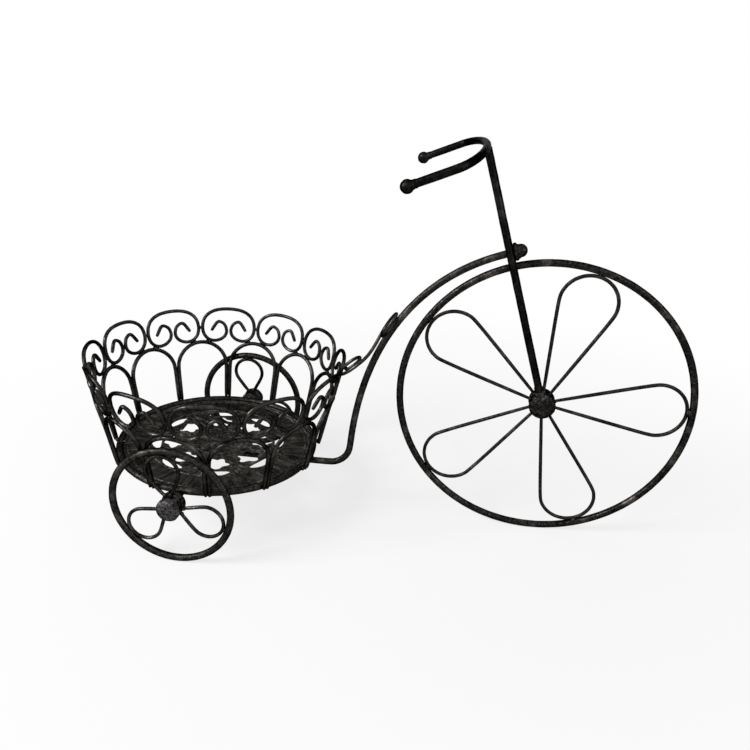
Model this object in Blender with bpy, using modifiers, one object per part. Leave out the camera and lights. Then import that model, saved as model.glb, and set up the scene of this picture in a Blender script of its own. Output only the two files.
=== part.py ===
"""Bicycle planter: a small wrought-iron tricycle that carries a round wire basket.

Lengths are metres, and angles are degrees where a name says so. +X points forward, +Z up.
The front wheel turns between two fork legs and the two rear wheels turn on one rear axle.
The basket stands on that axle and on the foot of the frame rod.
"""

import math

import bmesh
import bpy
from mathutils import Matrix, Vector
from mathutils.geometry import intersect_point_line

OBJECT_NAME = "bicycle_planter"

# Stock: the round bar of frame and rims, and the two wires. Fitted pieces keep one gap.
BAR_RADIUS = 0.0030
PETAL_WIRE_RADIUS = 0.0015
BASKET_WIRE_RADIUS = 0.0016
FIT_GAP = 0.0003

# Wheels. A rim radius is that of the bar's centreline.
FRONT_RIM_RADIUS = 0.1300
FRONT_PETAL_COUNT = 5
FRONT_PETAL_HALF_WIDTH = 0.0250
FRONT_PETAL_TURN_DEG = 1.2
REAR_RIM_RADIUS = 0.0544
REAR_PETAL_COUNT = 3
REAR_PETAL_HALF_WIDTH = 0.0155
REAR_RIGHT_PETAL_TURN_DEG = 98.5
REAR_LEFT_PETAL_TURN_DEG = 93.0
PETAL_FOOT_OFFSET = 0.0027
WHEEL_BASKET_GAP = 0.0004

# Hubs: a sleeve spins on the axle between two domed caps that are fixed on it.
CAP_RADIUS = 0.0113
CAP_RIM_LENGTH = 0.0036
CAP_DOME_HEIGHT = 0.0034
CAP_FACE_SHARE = 0.54
CAP_SHOULDER_SHARE = 0.86
CAP_SHOULDER_HEIGHT_SHARE = 0.70
CAP_BORE_DEPTH = 0.0045
SLEEVE_RADIUS_SHARE = 0.88

# Fork, handlebar and the screwed joint at the head.
FORK_RAKE_DEG = 16.36
FORK_CLEARANCE = 0.0010
BAR_TOP_HEIGHT = 0.3554
BAR_SLOPE_DEG = 20.8
BAR_TURN_DEG = 2.15
BAR_HALF_WIDTH = 0.0880
BAR_CORNER_DEPTH = 0.0230
BAR_LENGTH = 0.0598
KNOB_RADIUS = 0.0054
KNOB_NECK_RADIUS = 0.0039
KNOB_NECK_LENGTH = 0.0036
HEAD_RIM_GAP = 0.0059
WASHER_RADIUS = 0.0079
WASHER_THICKNESS = 0.0032
WASHER_ROUND = 0.0009
NUT_RADIUS = 0.0058
NUT_SEAT_DEPTH = 0.0022
NUT_BORE_DEPTH = 0.0050

# Frame rod: square to the fork at the head, one sweep down to a bend, then under the axle.
FRAME_HEAD_REACH_SHARE = 0.373
FRAME_FOOT_REACH_SHARE = 0.393
FRAME_FOOT_DEG = 84.3
FRAME_BEND_RADIUS = 0.0212
FRAME_BEND_AHEAD = 0.0154
FRAME_WHEEL_GAP = 0.0412
FRAME_TAIL_LENGTH = 0.0120

# Basket: base ring, arches and scrolls follow one flared wall, measured up from the ring.
BASKET_FORWARD = 0.0020
RING_RADIUS = 0.0950
WALL_FLARE_DEG = 11.86
ARCH_COUNT = 12
ARCH_SHOULDER_HEIGHT = 0.0370
ARCH_CROWN_RISE = 0.0252
SCROLL_RISE = 0.0353
SCROLL_TOP_FULLNESS_SHARE = 0.80
SCROLL_WIDEST_RISE = 0.0150
SCROLL_TOUCH_RISE = 0.0110
SCROLL_EYE_RISE = 0.0215
SCROLL_FOOT_SHARE = 0.54
SCROLL_EYE_SHARE = 0.335
SCROLL_EYE_RADIUS = 0.0050
SCROLL_TAIL_DEG = 58.0
SCROLL_TAIL_LENGTH = 0.0088

# Tray: a turned band with a raised bead inside the base ring, round a thinner plate with cut leaves.
TRAY_THICKNESS = 0.0022
TRAY_BEAD_WIDTH = 0.0030
TRAY_BEAD_RISE = 0.0010
TRAY_BAND_INNER_RADIUS = 0.0660
PLATE_THICKNESS = 0.0014
PLATE_INLET = 0.0020
LEAF_COUNT = 8
LEAF_TURN_DEG = 17.5
OUTER_LEAF_PLACE = 0.0598
OUTER_LEAF_HALF_LENGTH = 0.0130
OUTER_LEAF_HALF_WIDTH = 0.0042
OUTER_LEAF_LOBE_SHARE = 0.0
INNER_LEAF_PLACE = 0.0425
INNER_LEAF_HALF_LENGTH = 0.0104
INNER_LEAF_HALF_WIDTH = 0.0090
INNER_LEAF_LOBE_SHARE = 0.17
LEAF_LOBE_COUNT = 5

# Brace: an S-scroll in one bent sheet, from the basket's front up to the frame rod.
BRACE_SEAT_HEIGHT = 0.0930
BRACE_RISE_DEG = 37.5
BRACE_LANDING_SHARE = 0.565
BRACE_APPROACH_DEG = 8.0
LOWER_CURL_RADIUS = 0.0134
LOWER_EYE_RADIUS = 0.0055
LOWER_CURL_STRETCH_SHARE = 1.15
UPPER_CURL_RADIUS = 0.0085
UPPER_EYE_RADIUS = 0.0040
UPPER_CURL_STRETCH_SHARE = 1.75
CURL_TURNS_SHARE = 1.25

# Facets, and the steps that draw each curve.
WIRE_SECTION_STEPS = 1
BAR_SECTION_STEPS = 2
BAR_FACETS = 8
FRONT_RIM_FACETS = 52
REAR_RIM_FACETS = 32
RING_FACETS = 40
TURNED_FACETS = 16
PETAL_ROUND_STEPS = 12
BAR_ROUND_STEPS = 18
BALL_STEPS = 5
FRAME_BEND_STEPS = 6
FRAME_SWEEP_STEPS = 18
ARCH_CROWN_STEPS = 12
SCROLL_TOP_STEPS = 5
SCROLL_TURN_STEPS = 3
SCROLL_EYE_STEPS = 2
LEAF_STEPS = 10
BRACE_BEND_STEPS = 8
BRACE_CROSS_STEPS = 8
CURL_STEPS = 13
SHARP_EDGE_DEG = 40.0
MERGE_DISTANCE = 0.00001

# How finely two wires are brought together.
GAP_SAMPLE_STEPS = 4
SEAT_STEPS = 24
ROD_STEP_SHARE = 0.01

# Derived sizes that several pieces share.
FORK_RAKE = math.radians(FORK_RAKE_DEG)
FORK_LEG_OFFSET = 2 * BAR_RADIUS + FORK_CLEARANCE
CAP_INNER_PLANE = BAR_RADIUS + FORK_CLEARANCE
BORE_RADIUS = BAR_RADIUS + FIT_GAP
SLEEVE_RADIUS = CAP_RADIUS * SLEEVE_RADIUS_SHARE
FRONT_AXLE_HEIGHT = FRONT_RIM_RADIUS + BAR_RADIUS
REAR_AXLE_HEIGHT = REAR_RIM_RADIUS + BAR_RADIUS
HEAD_REACH = FRONT_RIM_RADIUS + BAR_RADIUS + HEAD_RIM_GAP + BAR_RADIUS
HEAD_HEIGHT = FRONT_AXLE_HEIGHT + HEAD_REACH * math.cos(FORK_RAKE)
FRAME_FOOT = math.radians(FRAME_FOOT_DEG)
BAR_SEAT = 2 * BAR_RADIUS + FIT_GAP
BASKET_LEAN = math.atan2(BAR_SEAT, RING_RADIUS + BASKET_FORWARD)
RING_FRONT = BASKET_FORWARD + RING_RADIUS + BAR_RADIUS
RING_REACH = RING_FRONT * math.cos(BASKET_LEAN) + BAR_SEAT * math.sin(BASKET_LEAN)
FOOT_REACH = FRAME_BEND_AHEAD + FRAME_BEND_RADIUS * math.sin(FRAME_FOOT)
WHEELBASE = RING_REACH + FOOT_REACH + BAR_RADIUS + FRAME_WHEEL_GAP + BAR_RADIUS + FRONT_RIM_RADIUS
WALL_FLARE = math.tan(math.radians(WALL_FLARE_DEG))
HALF_PITCH = math.pi / ARCH_COUNT
WIRE_SEAT = 2 * BASKET_WIRE_RADIUS + FIT_GAP
WALL_BASE_RADIUS = RING_RADIUS + (BAR_RADIUS + FIT_GAP + BASKET_WIRE_RADIUS) * math.hypot(1, WALL_FLARE)
TRAY_RADIUS = RING_RADIUS - BAR_RADIUS - FIT_GAP

# Finish: painted iron, told apart by how much the hammering and handling show.
BLACK_IRON = (0.020, 0.019, 0.018, 1.0)
WORN_IRON = (0.034, 0.031, 0.029, 1.0)
HAMMERED_IRON = (0.026, 0.025, 0.026, 1.0)
IRON_METALLIC_SHARE = 0.55
BAR_ROUGHNESS = 0.42
WIRE_ROUGHNESS = 0.45
BALL_ROUGHNESS = 0.38
CAST_ROUGHNESS = 0.50


def clear_scene():
    for item in list(bpy.data.objects):
        bpy.data.objects.remove(item, do_unlink=True)


def new_collection(name):
    collection = bpy.data.collections.new(name)
    bpy.context.scene.collection.children.link(collection)
    return collection


def iron(name, colour, roughness):
    material = bpy.data.materials.new(name)
    material.use_nodes = True
    shader = material.node_tree.nodes["Principled BSDF"]
    shader.inputs["Base Color"].default_value = colour
    shader.inputs["Roughness"].default_value = roughness
    shader.inputs["Metallic"].default_value = IRON_METALLIC_SHARE
    return material


def add_object(name, data, collection, parent, place=Vector(), turn=(0, 0, 0)):
    item = bpy.data.objects.new(name, data)
    collection.objects.link(item)
    item.parent = parent
    item.location = place
    item.rotation_euler = turn
    return item


def wire_curve(name, points, radius, section_steps, material):
    """A round wire through the points, with closed ends."""
    curve = bpy.data.curves.new(name, "CURVE")
    curve.dimensions = "3D"
    curve.bevel_depth = radius
    curve.bevel_resolution = section_steps
    curve.use_fill_caps = True
    spline = curve.splines.new("POLY")
    spline.points.add(len(points) - 1)
    for spot, point in zip(spline.points, points):
        spot.co = (*point, 1)
    spline.use_smooth = True
    curve.materials.append(material)
    return curve


def smooth(mesh):
    mesh.shade_smooth()
    mesh.set_sharp_from_angle(angle=math.radians(SHARP_EDGE_DEG))


def settle_modifiers(item):
    """Replaces an object's mesh by the one that its modifiers make."""
    bpy.context.view_layer.update()
    evaluated = item.evaluated_get(bpy.context.evaluated_depsgraph_get())
    mesh = bpy.data.meshes.new_from_object(evaluated)
    item.modifiers.clear()
    item.data = mesh
    smooth(mesh)


def turned(name, profile, ring, facets, collection, parent, material, place=Vector(), turn=(0, 0, 0)):
    """Turns a profile of (radius, height) points round Z; a ring's profile closes on itself."""
    mesh = bpy.data.meshes.new(name)
    count = len(profile)
    edges = [(index, index + 1) for index in range(count - 1)]
    if ring:
        edges.append((count - 1, 0))
    mesh.from_pydata([(radius, 0, height) for radius, height in profile], edges, [])
    mesh.materials.append(material)
    item = add_object(name, mesh, collection, parent, place, turn)
    screw = item.modifiers.new("turn", "SCREW")
    screw.steps = facets
    screw.render_steps = facets
    screw.use_merge_vertices = True
    screw.merge_threshold = MERGE_DISTANCE
    settle_modifiers(item)
    return item


def hoop(name, radius, bar_radius, facets, collection, parent, material, turn=(0, 0, 0)):
    """A closed ring of round bar, as a torus."""
    bpy.ops.mesh.primitive_torus_add(
        major_radius=radius, minor_radius=bar_radius, major_segments=facets, minor_segments=BAR_FACETS)
    item = bpy.context.object
    item.name = name
    item.data.name = name
    for holder in list(item.users_collection):
        holder.objects.unlink(item)
    collection.objects.link(item)
    item.parent = parent
    item.rotation_euler = turn
    item.data.materials.append(material)
    smooth(item.data)
    return item


def quarter(centre, across, up, start_deg, end_deg, steps, fullness=1.0):
    """Points on an ellipse between two angles, without the first; under 1 its shoulders fill out."""
    points = []
    for step in range(1, steps + 1):
        angle = math.radians(start_deg + (end_deg - start_deg) * step / steps)
        cosine = math.cos(angle)
        sine = math.sin(angle)
        side = across * math.copysign(abs(cosine) ** fullness, cosine)
        rise = up * math.copysign(abs(sine) ** fullness, sine)
        points.append((centre[0] + side, centre[1] + rise))
    return points


def least_gap(path, other):
    """The least distance between two centrelines, sampled along the first."""
    least = math.inf
    for start, end in zip(path, path[1:]):
        for step in range(GAP_SAMPLE_STEPS):
            spot = start.lerp(end, step / GAP_SAMPLE_STEPS)
            for first, second in zip(other, other[1:]):
                near, share = intersect_point_line(spot, first, second)
                near = first.lerp(second, min(max(share, 0), 1))
                least = min(least, (near - spot).length)
    return least


def bisect(low, high, is_high):
    """The value between low and high from which is_high holds."""
    for _ in range(SEAT_STEPS):
        middle = (low + high) / 2
        if is_high(middle):
            high = middle
        else:
            low = middle
    return high


def on_fork(height):
    """The point of the fork's centre plane and line at a height above the floor."""
    return Vector(((FRONT_AXLE_HEIGHT - height) * math.tan(FORK_RAKE), 0, height))


def fork_up():
    return Vector((-math.sin(FORK_RAKE), 0, math.cos(FORK_RAKE)))


def fork_ahead():
    return Vector((math.cos(FORK_RAKE), 0, math.sin(FORK_RAKE)))


def petal_points(tip, half_width, wire_radius):
    """One petal in the wheel's plane along +X: two straight legs and a round end."""
    centre = tip - half_width
    foot_side = PETAL_FOOT_OFFSET
    foot = math.sqrt((SLEEVE_RADIUS + FIT_GAP) ** 2 - (foot_side + wire_radius) ** 2)
    bearing = math.atan2(foot_side, foot - centre)
    span = math.hypot(foot_side, centre - foot)
    touch = bearing - math.acos(half_width / span)
    foot += wire_radius * math.cos(math.pi - touch)
    points = [(foot, foot_side)]
    for step in range(PETAL_ROUND_STEPS + 1):
        angle = touch * (1 - 2 * step / PETAL_ROUND_STEPS)
        points.append((centre + half_width * math.cos(angle), half_width * math.sin(angle)))
    points.append((foot, -foot_side))
    return [Vector((along, 0, side)) for along, side in points]


def add_wheel(name, hub_place, rim_radius, rim_facets, petal_count, half_width, turn_deg, parts, root):
    """One wheel round an empty on its axle: rim, petals and hub sleeve."""
    hub = add_object(name + "_wheel", None, parts, root, hub_place)
    rim_turn = (math.radians(90), math.pi / rim_facets, 0)
    hoop(name + "_rim", rim_radius, BAR_RADIUS, rim_facets, parts, hub,
         iron(name + "_rim", BLACK_IRON, BAR_ROUGHNESS), rim_turn)

    tip = rim_radius - BAR_RADIUS - FIT_GAP - PETAL_WIRE_RADIUS
    points = petal_points(tip, half_width, PETAL_WIRE_RADIUS)
    petal = wire_curve(name + "_petal", points, PETAL_WIRE_RADIUS, WIRE_SECTION_STEPS,
                       iron(name + "_petal", WORN_IRON, WIRE_ROUGHNESS))
    for index in range(petal_count):
        angle = math.radians(turn_deg) + index * math.tau / petal_count
        add_object(f"{name}_petal_{index + 1}", petal, parts, hub, Vector(), (0, -angle, 0))

    half_length = CAP_INNER_PLANE - FIT_GAP
    profile = [
        (SLEEVE_RADIUS, half_length),
        (SLEEVE_RADIUS, -half_length),
        (BORE_RADIUS, -half_length),
        (BORE_RADIUS, half_length),
    ]
    turned(name + "_hub", profile, True, TURNED_FACETS, parts, hub,
           iron(name + "_hub", HAMMERED_IRON, CAST_ROUGHNESS), Vector(), (math.radians(90), 0, 0))


def add_hub_cap(name, wheel_place, side, bored_through, parts, root):
    """A domed cap beside a wheel, facing away from it, with the axle in its bore."""
    height = CAP_RIM_LENGTH + CAP_DOME_HEIGHT
    dome = [
        (CAP_RADIUS * CAP_FACE_SHARE, height),
        (CAP_RADIUS * CAP_SHOULDER_SHARE, CAP_RIM_LENGTH + CAP_DOME_HEIGHT * CAP_SHOULDER_HEIGHT_SHARE),
        (CAP_RADIUS, CAP_RIM_LENGTH),
        (CAP_RADIUS, 0),
        (BORE_RADIUS, 0),
    ]
    if bored_through:
        profile = dome + [(BORE_RADIUS, height)]
    else:
        profile = [(0, height)] + dome + [(BORE_RADIUS, CAP_BORE_DEPTH), (0, CAP_BORE_DEPTH)]
    place = wheel_place + Vector((0, side * CAP_INNER_PLANE, 0))
    turned(name, profile, bored_through, TURNED_FACETS, parts, root,
           iron(name, HAMMERED_IRON, CAST_ROUGHNESS), place, (math.radians(-90 * side), 0, 0))


def add_axle(name, place, wheel_reach, parts, root):
    """A straight axle whose ends stop just short of the outer caps' bore ends."""
    end = wheel_reach + CAP_INNER_PLANE + CAP_BORE_DEPTH - FIT_GAP
    points = [Vector((0, -end, 0)), Vector((0, end, 0))]
    axle = wire_curve(name, points, BAR_RADIUS, BAR_SECTION_STEPS, iron(name, BLACK_IRON, BAR_ROUGHNESS))
    add_object(name, axle, parts, root, place)


def half_track():
    """Half the rear track: the rims and the inner caps stand just clear of the basket's wall."""
    wall = [basket_place() @ Matrix.Rotation(2 * HALF_PITCH * index, 4, "Z")
            for index in range(ARCH_COUNT // 2)]
    legs = [[place @ point for point in arch_points()] for place in wall]

    def clears(distance):
        rim = [Vector((-WHEELBASE + along, distance, REAR_AXLE_HEIGHT + up))
               for along, up in circle_points(REAR_RIM_RADIUS, REAR_RIM_FACETS)]
        reach = BAR_RADIUS + BASKET_WIRE_RADIUS + WHEEL_BASKET_GAP
        return min(least_gap(rim, leg) for leg in legs) > reach

    cap_reach = RING_RADIUS + BAR_RADIUS + FIT_GAP + CAP_INNER_PLANE + CAP_RIM_LENGTH + CAP_DOME_HEIGHT
    return max(cap_reach, bisect(RING_RADIUS, 2 * RING_RADIUS, clears))


def add_running_gear(parts, root):
    front = Vector((0, 0, FRONT_AXLE_HEIGHT))
    add_wheel("front", front, FRONT_RIM_RADIUS, FRONT_RIM_FACETS,
              FRONT_PETAL_COUNT, FRONT_PETAL_HALF_WIDTH, FRONT_PETAL_TURN_DEG, parts, root)
    add_axle("front_axle", front, 0, parts, root)
    add_hub_cap("front_hub_cap_right", front, -1, False, parts, root)
    add_hub_cap("front_hub_cap_left", front, 1, False, parts, root)

    middle = Vector((-WHEELBASE, 0, REAR_AXLE_HEIGHT))
    reach = half_track()
    add_axle("rear_axle", middle, reach, parts, root)
    wheels = (("rear_right", -1, REAR_RIGHT_PETAL_TURN_DEG), ("rear_left", 1, REAR_LEFT_PETAL_TURN_DEG))
    for word, side, turn_deg in wheels:
        place = middle + Vector((0, side * reach, 0))
        add_wheel(word, place, REAR_RIM_RADIUS, REAR_RIM_FACETS,
                  REAR_PETAL_COUNT, REAR_PETAL_HALF_WIDTH, turn_deg, parts, root)
        add_hub_cap(word + "_outer_cap", place, side, False, parts, root)
        add_hub_cap(word + "_inner_cap", place, -side, True, parts, root)


def add_fork(parts, root):
    """Two straight legs, from the tops of the front hub's caps to the underside of the bar."""
    axle = Vector((0, 0, FRONT_AXLE_HEIGHT))
    low = axle + fork_up() * (CAP_RADIUS + FIT_GAP)
    high = on_fork(BAR_TOP_HEIGHT) - fork_up() * (BAR_RADIUS + FIT_GAP)
    leg = wire_curve("fork_leg", [low, high], BAR_RADIUS, BAR_SECTION_STEPS,
                     iron("fork_leg", BLACK_IRON, BAR_ROUGHNESS))
    add_object("fork_leg_right", leg, parts, root, Vector((0, -FORK_LEG_OFFSET, 0)))
    add_object("fork_leg_left", leg, parts, root, Vector((0, FORK_LEG_OFFSET, 0)))


def handlebar_points():
    """The U-shaped bar in its own plane: X runs back from the apex, Y across."""
    end = BAR_LENGTH - FIT_GAP
    points = [Vector((end, -BAR_HALF_WIDTH, 0))]
    for step in range(BAR_ROUND_STEPS + 1):
        angle = math.pi * (step / BAR_ROUND_STEPS - 0.5)
        back = BAR_CORNER_DEPTH * (1 - math.cos(angle))
        points.append(Vector((back, BAR_HALF_WIDTH * math.sin(angle), 0)))
    points.append(Vector((end, BAR_HALF_WIDTH, 0)))
    return points


def add_handlebar(parts, root):
    """The bar slopes down behind the fork's top, turned a little to the left, with a ball on each end."""
    bar = wire_curve("handlebar", handlebar_points(), BAR_RADIUS, BAR_SECTION_STEPS,
                     iron("handlebar", BLACK_IRON, BAR_ROUGHNESS))
    facing_back = math.pi + math.radians(BAR_TURN_DEG)
    bar_item = add_object("handlebar", bar, parts, root, on_fork(BAR_TOP_HEIGHT),
                          (0, math.radians(BAR_SLOPE_DEG), facing_back))

    neck_drop = math.sqrt(KNOB_RADIUS ** 2 - KNOB_NECK_RADIUS ** 2)
    profile = [(0, KNOB_RADIUS)]
    low_angle = -math.asin(neck_drop / KNOB_RADIUS)
    for step in range(1, BALL_STEPS + 1):
        angle = math.pi / 2 + (low_angle - math.pi / 2) * step / BALL_STEPS
        profile.append((KNOB_RADIUS * math.cos(angle), KNOB_RADIUS * math.sin(angle)))
    mouth = -neck_drop - KNOB_NECK_LENGTH
    profile += [(KNOB_NECK_RADIUS, mouth), (BORE_RADIUS, mouth), (BORE_RADIUS, 0), (0, 0)]
    for word, side in (("right", 1), ("left", -1)):
        place = Vector((BAR_LENGTH, side * BAR_HALF_WIDTH, 0))
        turned("handlebar_knob_" + word, profile, False, TURNED_FACETS, parts, bar_item,
               iron("handlebar_knob_" + word, BLACK_IRON, BALL_ROUGHNESS), place, (0, math.radians(90), 0))


def frame_sweep(share):
    """The rod's centreline from the head, share 0, to the start of the foot bend, share 1."""
    head = on_fork(HEAD_HEIGHT)
    foot = bend_end() + FRAME_BEND_RADIUS * Vector((math.sin(FRAME_FOOT), 0, 1 - math.cos(FRAME_FOOT)))
    span = (head - foot).length
    second = head - fork_ahead() * span * FRAME_HEAD_REACH_SHARE
    third = foot + Vector((math.cos(FRAME_FOOT), 0, math.sin(FRAME_FOOT))) * span * FRAME_FOOT_REACH_SHARE
    rest = 1 - share
    return (head * rest ** 3 + second * 3 * rest ** 2 * share
            + third * 3 * rest * share ** 2 + foot * share ** 3)


def basket_centre():
    """The base ring's centre: the ring rests on the rear axle and, leaning forward, on the rod."""
    up = Vector((math.sin(BASKET_LEAN), 0, math.cos(BASKET_LEAN)))
    ahead = Vector((math.cos(BASKET_LEAN), 0, -math.sin(BASKET_LEAN)))
    return Vector((-WHEELBASE, 0, REAR_AXLE_HEIGHT)) + up * BAR_SEAT + ahead * BASKET_FORWARD


def basket_place():
    """The basket's own frame: its centre, leaning forward."""
    return Matrix.Translation(basket_centre()) @ Matrix.Rotation(BASKET_LEAN, 4, "Y")


def bend_end():
    """Where the foot bend ends and the level run under the axle begins."""
    return Vector((RING_REACH + FRAME_BEND_AHEAD - WHEELBASE, 0, REAR_AXLE_HEIGHT - BAR_SEAT))


def frame_points():
    tail = Vector((-WHEELBASE - FRAME_TAIL_LENGTH, 0, REAR_AXLE_HEIGHT - BAR_SEAT))
    bend = bend_end()
    points = [tail, bend]
    for step in range(1, FRAME_BEND_STEPS):
        angle = FRAME_FOOT * step / FRAME_BEND_STEPS
        points.append(bend + FRAME_BEND_RADIUS * Vector((math.sin(angle), 0, 1 - math.cos(angle))))
    for step in range(FRAME_SWEEP_STEPS + 1):
        points.append(frame_sweep(1 - step / FRAME_SWEEP_STEPS))
    end = BAR_RADIUS + FIT_GAP + WASHER_THICKNESS + NUT_BORE_DEPTH
    points.append(on_fork(HEAD_HEIGHT) + fork_ahead() * end)
    return points


def add_frame(parts, root):
    """The rod, and the washer and ball nut that hold its end in front of the fork legs."""
    rod = wire_curve("frame_rod", frame_points(), BAR_RADIUS, BAR_SECTION_STEPS,
                     iron("frame_rod", BLACK_IRON, BAR_ROUGHNESS))
    add_object("frame_rod", rod, parts, root)

    facing = (0, math.radians(90) - FORK_RAKE, 0)
    half = WASHER_THICKNESS / 2
    washer = [
        (WASHER_RADIUS - WASHER_ROUND, half),
        (WASHER_RADIUS, half - WASHER_ROUND),
        (WASHER_RADIUS, WASHER_ROUND - half),
        (WASHER_RADIUS - WASHER_ROUND, -half),
        (BORE_RADIUS, -half),
        (BORE_RADIUS, half),
    ]
    seat = BAR_RADIUS + FIT_GAP
    turned("head_washer", washer, True, TURNED_FACETS, parts, root,
           iron("head_washer", HAMMERED_IRON, WIRE_ROUGHNESS),
           on_fork(HEAD_HEIGHT) + fork_ahead() * (seat + half), facing)

    nut = [(0, NUT_SEAT_DEPTH + NUT_RADIUS)]
    low_angle = -math.asin(NUT_SEAT_DEPTH / NUT_RADIUS)
    for step in range(1, BALL_STEPS + 1):
        angle = math.pi / 2 + (low_angle - math.pi / 2) * step / BALL_STEPS
        nut.append((NUT_RADIUS * math.cos(angle), NUT_SEAT_DEPTH + NUT_RADIUS * math.sin(angle)))
    nut += [(BORE_RADIUS, 0), (BORE_RADIUS, NUT_BORE_DEPTH), (0, NUT_BORE_DEPTH)]
    seat += WASHER_THICKNESS + FIT_GAP
    turned("head_ball_nut", nut, False, TURNED_FACETS, parts, root,
           iron("head_ball_nut", BLACK_IRON, BALL_ROUGHNESS),
           on_fork(HEAD_HEIGHT) + fork_ahead() * seat, facing)


def wall_radius(height):
    return WALL_BASE_RADIUS + WALL_FLARE * height


def wall_point(along, height):
    """A point of the basket's wall, from a distance round it and a height above the ring."""
    radius = wall_radius(height)
    angle = along / radius
    return Vector((radius * math.cos(angle), radius * math.sin(angle), height))


def half_width_at(height):
    """Half the pitch at a height, less half of the seat that two neighbours share."""
    return wall_radius(height) * HALF_PITCH - WIRE_SEAT / 2


def arch_points():
    """An arch centred on +X: a leg, a round crown and a leg."""
    half = half_width_at(ARCH_SHOULDER_HEIGHT)
    foot = half_width_at(0)
    flat = [(foot, 0), (half, ARCH_SHOULDER_HEIGHT)]
    flat += quarter((0, ARCH_SHOULDER_HEIGHT), half, ARCH_CROWN_RISE, 0, 180, ARCH_CROWN_STEPS)
    flat.append((-foot, 0))
    return [wall_point(along, height) for along, height in flat]


def scroll_points(foot_height):
    """A scroll centred on +X: tail, eye, foot and back on each side of one flat top."""
    widest = foot_height + SCROLL_WIDEST_RISE
    touch = foot_height + SCROLL_TOUCH_RISE
    eye = foot_height + SCROLL_EYE_RISE
    top = foot_height + SCROLL_RISE
    half = half_width_at(widest)
    foot_side = half * SCROLL_FOOT_SHARE
    eye_side = half * SCROLL_EYE_SHARE
    touch_side = WIRE_SEAT / 2
    side = quarter((0, widest), half, top - widest, 90, 0, SCROLL_TOP_STEPS,
                   SCROLL_TOP_FULLNESS_SHARE)
    side += quarter((foot_side, widest), half - foot_side, widest - foot_height, 0, -90, SCROLL_TURN_STEPS)
    side += quarter((foot_side, touch), foot_side - touch_side, touch - foot_height, 270, 180,
                    SCROLL_TURN_STEPS)
    side += quarter((eye_side, touch), eye_side - touch_side, eye - touch, 180, 90, SCROLL_EYE_STEPS)
    eye_centre = (eye_side, eye - SCROLL_EYE_RADIUS)
    side += quarter(eye_centre, SCROLL_EYE_RADIUS, SCROLL_EYE_RADIUS, 90, 90 - SCROLL_TAIL_DEG,
                    SCROLL_EYE_STEPS)
    tail = math.radians(-SCROLL_TAIL_DEG)
    along, height = side[-1]
    side.append((along + SCROLL_TAIL_LENGTH * math.cos(tail), height + SCROLL_TAIL_LENGTH * math.sin(tail)))
    other = [(-along, height) for along, height in reversed(side)]
    return [wall_point(along, height) for along, height in other + [(0, top)] + side]


def scroll_foot_height():
    """The height at which a scroll's feet rest on the shoulders of the two arches below it."""
    arch = [Matrix.Rotation(HALF_PITCH, 3, "Z") @ point for point in arch_points()]

    def clears(height):
        return least_gap(scroll_points(height), arch) > WIRE_SEAT

    return bisect(ARCH_SHOULDER_HEIGHT, ARCH_SHOULDER_HEIGHT + 2 * ARCH_CROWN_RISE, clears)


def add_basket_wall(parts, basket, scroll):
    hoop("base_ring", RING_RADIUS, BAR_RADIUS, RING_FACETS, parts, basket,
         iron("base_ring", BLACK_IRON, BAR_ROUGHNESS))
    arch = wire_curve("basket_arch", arch_points(), BASKET_WIRE_RADIUS, WIRE_SECTION_STEPS,
                      iron("basket_arch", BLACK_IRON, WIRE_ROUGHNESS))
    curl = wire_curve("basket_scroll", scroll, BASKET_WIRE_RADIUS, WIRE_SECTION_STEPS,
                      iron("basket_scroll", BLACK_IRON, WIRE_ROUGHNESS))
    for index in range(ARCH_COUNT):
        angle = 2 * HALF_PITCH * index
        arch_name = f"basket_arch_{index + 1:02d}"
        add_object(arch_name, arch, parts, basket, Vector(), (0, 0, angle))
        scroll_name = f"basket_scroll_{index + 1:02d}"
        add_object(scroll_name, curl, parts, basket, Vector(), (0, 0, angle + HALF_PITCH))


def add_loop(curve, points):
    spline = curve.splines.new("POLY")
    spline.points.add(len(points) - 1)
    for spot, point in zip(spline.points, points):
        spot.co = (*point, 0, 1)
    spline.use_cyclic_u = True


def leaf_points(place, half_length, half_width, turn, lobe_share):
    """A leaf opening whose length follows the plate's round; a lobe share over 0 cuts its edge."""
    points = []
    for step in range(LEAF_STEPS):
        angle = math.tau * step / LEAF_STEPS
        reach = 1 + lobe_share * math.cos(LEAF_LOBE_COUNT * angle)
        radius = place + half_width * reach * math.cos(angle)
        bearing = turn + half_length * reach * math.sin(angle) / place
        points.append((radius * math.cos(bearing), radius * math.sin(bearing)))
    return points


def circle_points(radius, steps):
    return [(radius * math.cos(math.tau * step / steps), radius * math.sin(math.tau * step / steps))
            for step in range(steps)]


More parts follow.
